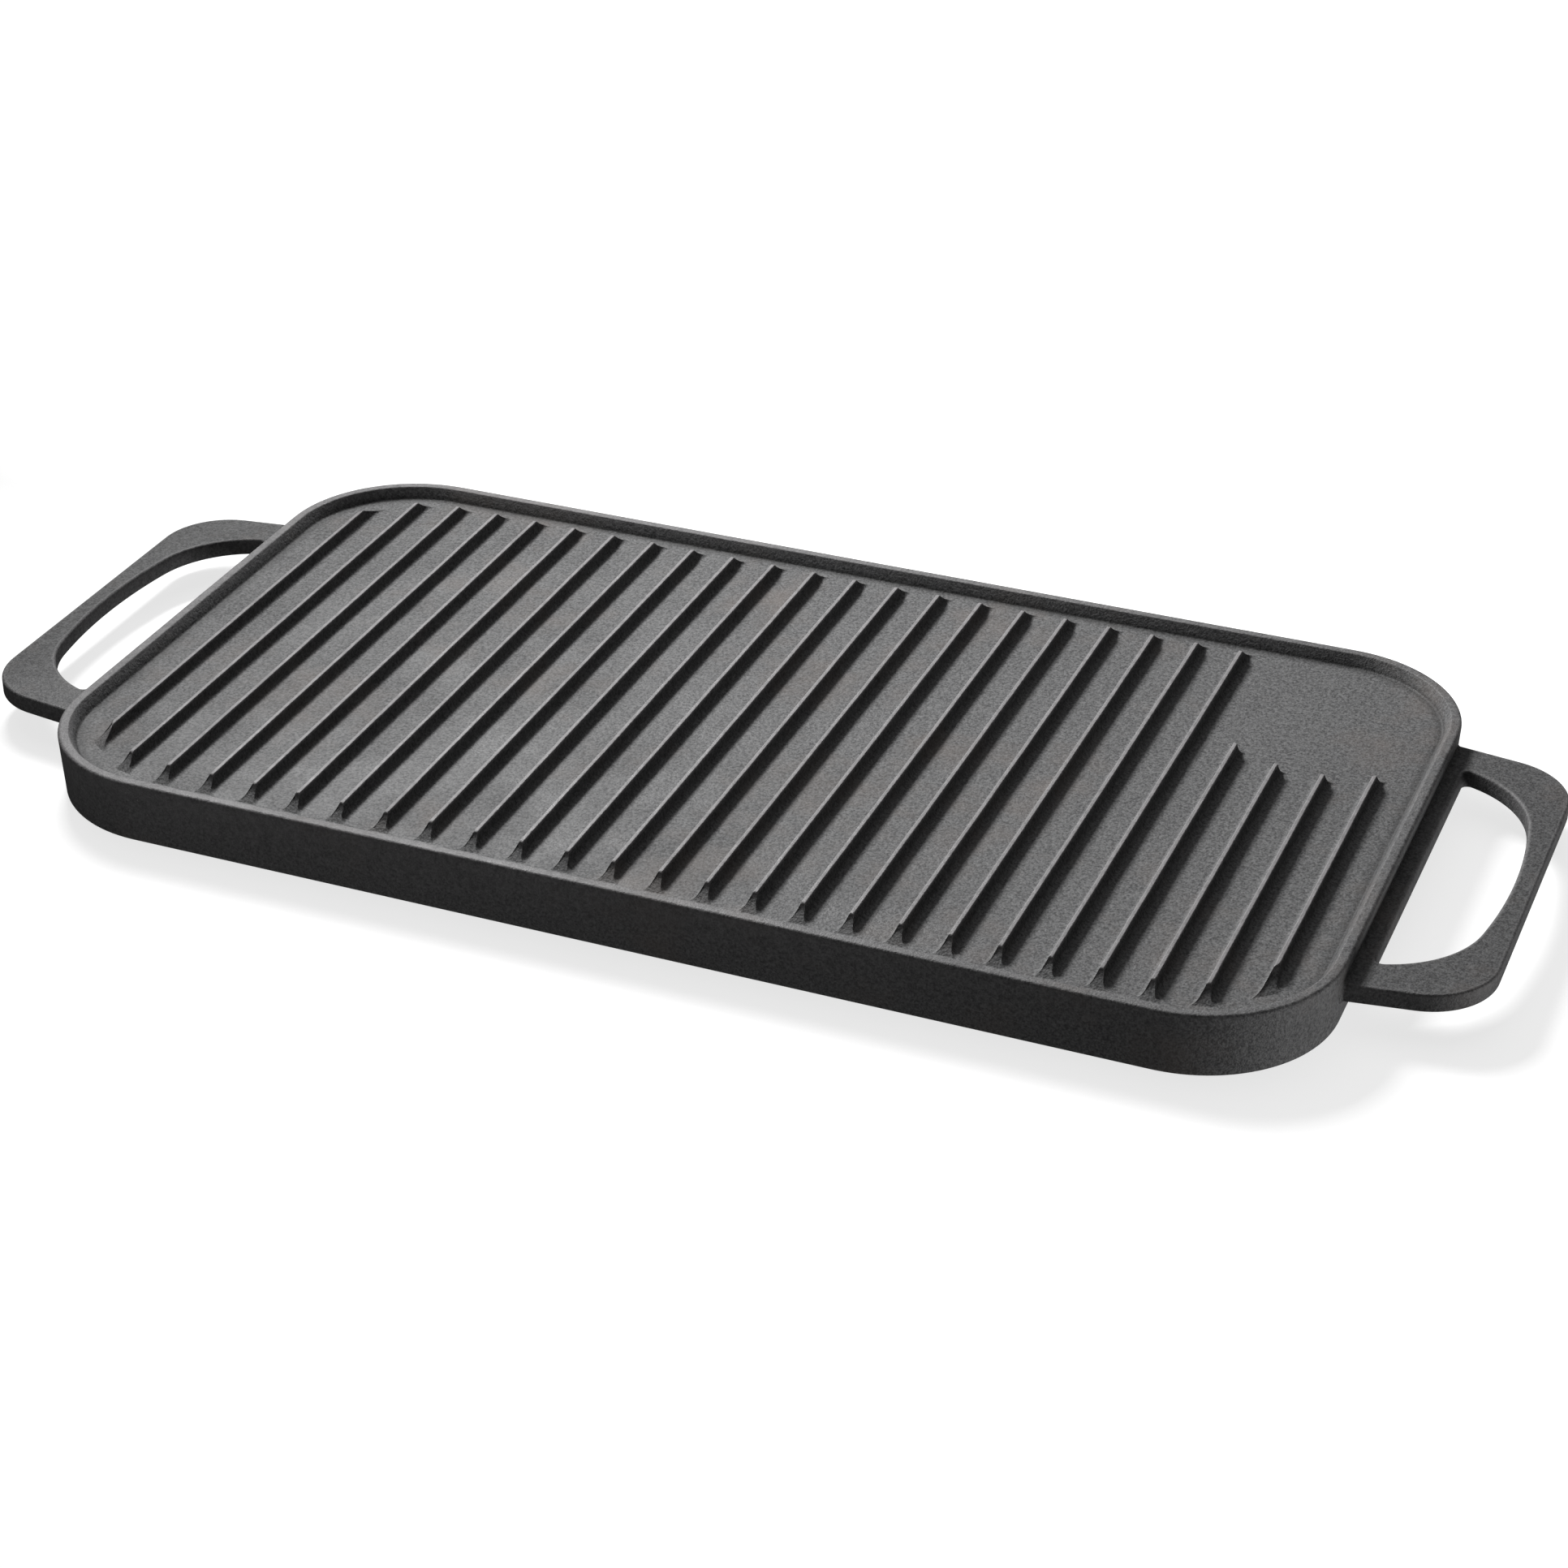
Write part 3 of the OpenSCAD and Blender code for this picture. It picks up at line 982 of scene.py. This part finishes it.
@dataclass
class Handle:
    """A flat handle with a D-shaped finger opening, flared where it meets the end wall.

    Sizes are in millimetres, drawn for the right end; the left handle is its mirror image.
    """

    side: Side
    plate: Plate
    top: float
    bottom: float
    reach: float = 38.0
    grip_half_l: float = 47.0
    corner_r: float = 21.9
    root_half_w: float = 71.5
    flange_w: float = 4.8
    grip_w: float = 6.0
    bow_r: float = 180.0
    shoulder_r: float = 33.0
    bow_angle: float = 10.0
    opening_corner_r: float = 2.0
    edge_r: float = 0.9
    flare_r: float = 0.9
    flare_start: float = 1.1
    embed: float = 3.0
    edge_steps: int = 6
    support: float = 0.35
    root_rows: int = 12
    root_columns: int = 60
    # brightening of the top and bottom edges: part real wear, part painted highlight
    top_wear_and_highlight: float = 0.85
    bottom_wear_and_highlight: float = 0.4

    @classmethod
    def from_frame(cls, side: Side, plate: Plate) -> Handle:
        """Takes a handle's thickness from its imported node.

        Args:
            side: The end that it is on.
            plate: The plate that it belongs to.

        Returns:
            The handle.
        """
        low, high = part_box(f"{side.name.lower()}_handle")
        return cls(side=side, plate=plate, top=high.z / MM, bottom=low.z / MM)

    @property
    def wall_x(self) -> float:
        """X of the plate's end wall at its rim."""
        return self.plate.length / 2

    def arm_edge(self) -> tuple[Point, float, Point]:
        """The straight outer edge of the back arm.

        Returns:
            The centre of the outer corner's arc, the angle at which the edge leaves it, and where.
        """
        centre = (self.wall_x + self.reach - self.corner_r, self.grip_half_l)
        to_root = (self.wall_x - centre[0], self.root_half_w - centre[1])
        leave = math.atan2(to_root[1], to_root[0]) - math.acos(self.corner_r / math.hypot(*to_root))
        touch = (centre[0] + self.corner_r * math.cos(leave), centre[1] + self.corner_r * math.sin(leave))
        return centre, math.degrees(leave), touch

    def arm_y(self, x: float) -> float:
        """Y of the back arm's straight outer edge.

        Args:
            x: Where along it.

        Returns:
            The Y.
        """
        touch = self.arm_edge()[2]
        slope = (touch[1] - self.root_half_w) / (touch[0] - self.wall_x)
        return self.root_half_w + slope * (x - self.wall_x)

    def outline(self) -> list[Point]:
        """The outer edge from the front arm round the grip to the back arm, past the flare.

        Returns:
            The points in order, anticlockwise.
        """
        centre, leave, touch = self.arm_edge()
        start_x = self.wall_x + self.flare_start
        back = arc(centre, self.corner_r, 0, leave, 20)
        back += line(touch, (start_x, self.arm_y(start_x)), 10)[1:]
        front = [(x, -y) for x, y in reversed(back)]
        return front + line(front[-1], back[0], 24)[1:-1] + back

    def opening(self) -> list[Point]:
        """The finger opening: straight beside the plate and bowed on the grip side.

        Returns:
            The points of the closed outline, anticlockwise.
        """
        inner_x = self.wall_x + self.flange_w
        bow = (self.wall_x + self.reach - self.grip_w - self.bow_r, 0.0)
        turn = math.radians(self.bow_angle)
        away = self.bow_r - self.shoulder_r
        shoulder = (bow[0] + away * math.cos(turn), bow[1] + away * math.sin(turn))
        small = self.opening_corner_r
        corner_x = inner_x + small
        corner_y = shoulder[1] + math.sqrt((self.shoulder_r - small) ** 2 - (corner_x - shoulder[0]) ** 2)
        meet = math.degrees(math.atan2(corner_y - shoulder[1], corner_x - shoulder[0]))
        back = arc(bow, self.bow_r, 0, self.bow_angle, 10)
        back += arc(shoulder, self.shoulder_r, self.bow_angle, meet, 24)[1:]
        back += arc((corner_x, corner_y), small, meet, 180, 6)[1:]
        front = [(x, -y) for x, y in reversed(back)]
        flange = line(back[-1], front[0], 24)[1:-1]
        return back + flange + front[:-1]

    def edge_rows(self) -> list[tuple[float, float, float]]:
        """Levels from the top face over the rounded edge down to the bottom face.

        Returns:
            Inset from the side, height, and how much it is worn and given a painted highlight, for each
            level.
        """
        r = self.edge_r
        rows = [(r + self.support, self.top, 0.0)]
        upper = arc((0, 0), r, 90, 0, self.edge_steps)
        rows += [(r - u, self.top - r + v, self.top_wear_and_highlight) for u, v in upper]
        lower = arc((0, 0), r, 0, -90, self.edge_steps)
        rows += [(r - u, self.bottom + r + v, self.bottom_wear_and_highlight) for u, v in lower]
        rows += [(r + self.support, self.bottom, 0.0)]
        return rows

    def flare(self, x: float, y: float) -> float:
        """How far the handle swells on every side, close to the end wall, which curves away at the corners.

        Args:
            x: X of the point.
            y: Its Y.

        Returns:
            The swelling, which is 0 beyond the flare.
        """
        past = max(abs(y) + self.flare_r - (self.plate.width / 2 - self.plate.corner_r), 0.0)
        curved = self.plate.corner_r - math.sqrt(self.plate.corner_r**2 - past**2)
        face_x = self.wall_x - self.plate.wall_lean * (1 - self.top / self.plate.height) - curved
        gap = min(max(x - face_x, 0.0), self.flare_r)
        return self.flare_r - math.sqrt(self.flare_r**2 - (self.flare_r - gap) ** 2)

    def build(self, material: bpy.types.Material) -> bpy.types.Object:
        """Builds the handle.

        Args:
            material: Its finish.

        Returns:
            The piece.
        """
        mesh = bmesh.new()
        layer = mesh.verts.layers.float.new(EDGE)

        def point(x: float, y: float, z: float, worn_and_highlighted: float = 0.0) -> bmesh.types.BMVert:
            """Adds a point with its wear.

            Args:
                x: Its X.
                y: Its Y.
                z: Its Z.
                worn_and_highlighted: How much it is rubbed.

            Returns:
                The point.
            """
            made = mesh.verts.new((x, y, z))
            made[layer] = worn_and_highlighted
            return made

        def skin(rows: list[list[bmesh.types.BMVert]], closed: bool) -> None:
            """Joins rows of points with four-sided faces.

            Args:
                rows: The rows, all of the same length.
                closed: True where each row's last point is followed by its first.
            """
            for upper, lower in zip(rows, rows[1:]):
                for k in range(0 if closed else 1, len(upper)):
                    mesh.faces.new((upper[k - 1], upper[k], lower[k], lower[k - 1]))

        levels = self.edge_rows()
        outline = self.outline()
        outward = normals_of(outline, closed=False)
        outward[0], outward[-1] = Vector((0, -1)), Vector((0, 1))
        outer = [
            [point(p[0] - inset * n.x, p[1] - inset * n.y, z, worn_and_highlighted) for p, n in zip(outline, outward)]
            for inset, z, worn_and_highlighted in levels
        ]
        skin(outer, closed=False)
        opening = self.opening()
        into = normals_of(opening, closed=True)
        inner = [
            [point(p[0] + inset * n.x, p[1] + inset * n.y, z, worn_and_highlighted) for p, n in zip(opening, into)]
            for inset, z, worn_and_highlighted in levels
        ]
        skin(inner, closed=True)

        start_x = self.wall_x + self.flare_start
        root_y = self.arm_y(start_x)
        inset_y = root_y - levels[0][0]
        across = [y for _, y in line((0, inset_y), (0, -inset_y), self.root_columns)][1:-1]
        face_lines = [[point(start_x, y, z) for y in across] for z in (self.top, self.bottom)]
        for rows, face_line in ((0, face_lines[0]), (-1, face_lines[1])):
            rim_points = [outer[rows][-1], *face_line, outer[rows][0]]
            hole = inner[rows]
            pairs = list(zip(rim_points, rim_points[1:])) + list(zip(outer[rows], outer[rows][1:]))
            pairs += list(zip(hole, hole[1:])) + [(hole[-1], hole[0])]
            bounds = [mesh.edges.get(pair) or mesh.edges.new(pair) for pair in pairs]
            bmesh.ops.triangle_fill(mesh, use_beauty=True, use_dissolve=False, edges=bounds)

        ring = [row[-1] for row in outer[::-1]] + face_lines[0]
        ring += [row[0] for row in outer] + face_lines[1][::-1]
        middle_z = (self.top + self.bottom) / 2
        half_y = root_y - self.edge_r
        half_z = (self.top - self.bottom) / 2 - self.edge_r
        rings = [ring]
        for k in range(1, self.root_rows + 1):
            x = start_x - (self.flare_start + self.embed) * k / self.root_rows
            slide = self.arm_y(x) - root_y
            rings.append([])
            for vert in ring:
                y = vert.co.y
                z = vert.co.z - middle_z
                beyond_y = max(abs(y) - half_y, 0) * math.copysign(1, y)
                beyond_z = max(abs(z) - half_z, 0) * math.copysign(1, z)
                away = Vector((beyond_y, beyond_z))
                away = away.normalized() * self.flare(x, y)
                near_end = max(0.0, 1 - (root_y - abs(y)) / root_y) * math.copysign(slide, y)
                rings[-1].append(point(x, y + away.x + near_end, middle_z + z + away.y, vert[layer]))
        skin(rings, closed=True)
        mesh.faces.new(rings[-1])
        for vert in mesh.verts:
            vert.co.x *= self.side.value
        piece = mesh_object(f"handle_{self.side.name.lower()}", mesh)
        piece.data.materials.append(material)
        finish_mesh(piece)
        return piece


# ---- Studio ----


@dataclass
class Studio:
    """The pale floor, the soft lights and the camera. Lengths are in metres and angles in degrees."""

    floor_half: float = 6.0
    floor_grey: Colour = (0.35, 0.35, 0.35)
    floor_glow: float = 0.75
    backdrop_glow: float = 1.05
    backdrop_from: float = 0.09
    backdrop_to: float = 0.15
    world_glow: float = 0.04
    camera_at: Place = (0.35524, -0.86628, 0.53875)
    azimuth: float = 21.888
    elevation: float = 30.122
    roll: float = -0.23
    lens: float = 80.295
    sensor: float = 36.0

    def build(self) -> None:
        """Builds the whole studio."""
        self.add_floor()
        self.add_lights()
        self.add_camera()

    def add_floor(self) -> None:
        """Lays the floor, which glows evenly white behind the griddle and doesn't light it from below."""
        mesh = bmesh.new()
        bmesh.ops.create_grid(mesh, x_segments=1, y_segments=1, size=self.floor_half)
        floor = mesh_object("studio_floor", mesh)
        material = bpy.data.materials.new("studio_floor")
        material.use_nodes = True
        shader = material.node_tree.nodes["Principled BSDF"]
        shader.inputs["Base Color"].default_value = (*self.floor_grey, 1.0)
        shader.inputs["Roughness"].default_value = 1.0
        shader.inputs["Specular IOR Level"].default_value = 0.0
        shader.inputs["Emission Color"].default_value = (1.0, 1.0, 1.0, 1.0)
        tree = material.node_tree
        where = add_node(tree, "ShaderNodeTexCoord").outputs["Object"]
        depth = add_node(tree, "ShaderNodeSeparateXYZ", {"Vector": where}).outputs["Y"]
        glow = add_node(
            tree, "ShaderNodeMapRange",
            {
                "Value": depth, 1: self.backdrop_from, 2: self.backdrop_to,
                3: self.floor_glow, 4: self.backdrop_glow,
            },
        )
        tree.links.new(glow.outputs[0], shader.inputs["Emission Strength"])
        floor.data.materials.append(material)
        floor.visible_diffuse = False
        floor.visible_glossy = False
        floor.visible_shadow = False

    def add_sun(self, name: str, towards: Place, strength: float, spread: float) -> None:
        """Adds a broad distant light.

        Args:
            name: Its name.
            towards: Direction from the griddle to the light.
            strength: Irradiance in watts per square metre.
            spread: Angle that the light covers, in degrees.
        """
        data = bpy.data.lights.new(name, "SUN")
        data.energy = strength
        data.angle = math.radians(spread)
        light = bpy.data.objects.new(name, data)
        light.rotation_euler = Vector(towards).to_track_quat("Z", "Y").to_euler()
        bpy.context.scene.collection.objects.link(light)

    def add_softbox(self, name: str, place: Place, aim: Place, size: float, power: float) -> None:
        """Adds a square soft light.

        Args:
            name: Its name.
            place: Where it hangs.
            aim: The point that it faces.
            size: Length of its sides.
            power: Power in watts.
        """
        data = bpy.data.lights.new(name, "AREA")
        data.energy = power
        data.size = size
        light = bpy.data.objects.new(name, data)
        turned = (Vector(place) - Vector(aim)).to_track_quat("Z", "Y").to_matrix().to_4x4()
        light.matrix_world = Matrix.Translation(Vector(place)) @ turned
        bpy.context.scene.collection.objects.link(light)

    def add_lights(self) -> None:
        """Hangs the softbox at the back left, and adds a weak sky, a low fill from the right and a glow."""
        self.add_softbox("key", (-0.375, 0.34, 0.53), (0.625, -0.1, 0.72), 0.3, 19.5)
        self.add_sun("sky", (-0.2, 0.4, 1.0), 0.6, 60)
        self.add_sun("right_bounce", (1.0, 0.15, -0.3), 2.4, 40)
        self.add_sun("front_bounce", (-0.3, -1.0, -0.25), 0.36, 40)
        world = bpy.data.worlds.new("studio")
        world.use_nodes = True
        background = world.node_tree.nodes["Background"]
        background.inputs["Color"].default_value = (1.0, 1.0, 1.0, 1.0)
        background.inputs["Strength"].default_value = self.world_glow
        scene = bpy.context.scene
        scene.world = world
        scene.view_settings.view_transform = "Standard"

    def add_camera(self) -> None:
        """Places the camera, looking down on the griddle from the front right."""
        data = bpy.data.cameras.new("camera")
        data.lens = self.lens
        data.sensor_width = self.sensor
        data.clip_start = 0.01
        data.clip_end = 50.0
        camera = bpy.data.objects.new("camera", data)
        turn, tilt, roll = (math.radians(v) for v in (self.azimuth, self.elevation, self.roll))
        aim = Vector((-math.sin(turn) * math.cos(tilt), math.cos(turn) * math.cos(tilt), -math.sin(tilt)))
        right = aim.cross(Vector((0, 0, 1))).normalized()
        up = right.cross(aim)
        leaned_right = right * math.cos(roll) - up * math.sin(roll)
        leaned_up = up * math.cos(roll) + right * math.sin(roll)
        axes = Matrix((leaned_right, leaned_up, -aim)).transposed()
        camera.matrix_world = Matrix.Translation(Vector(self.camera_at)) @ axes.to_4x4()
        bpy.context.scene.collection.objects.link(camera)
        bpy.context.scene.camera = camera


def main() -> None:
    """Builds the griddle and the studio."""
    logging.basicConfig(level=logging.INFO, format="%(name)s: %(message)s")
    grain, wear = build_grain(), build_wear_and_highlight()
    finishes = {
        Region.COOKING: SeasonedIron(Region.COOKING, wear=0.85, nicks=1.0),
        # the rim's edge brightening weakens towards the right end: painted falloff of the light
        Region.RIM: SeasonedIron(Region.RIM, wear=0.5, nicks=0.8, fade=0.8),
        Region.HANDLE: SeasonedIron(Region.HANDLE, wear=0.25, nicks=0.3, tone=0.78),
    }
    materials = {region: finish.build(grain, wear) for region, finish in finishes.items()}
    slot = finishes[Region.RIM].slot
    plate = Plate.from_frame()
    hand_over(plate.build_floor(materials[Region.COOKING]), "pan_floor", slot)
    hand_over(plate.build_rim(materials[Region.RIM]), "rim_wall", slot)
    hand_over(Ribs(plate).build(materials[Region.COOKING]), "grill_ribs", slot)
    for side in Side:
        handle = Handle.from_frame(side, plate)
        hand_over(handle.build(materials[Region.HANDLE]), f"{side.name.lower()}_handle", slot)
    Studio().build()


if __name__ == "__main__":
    main()
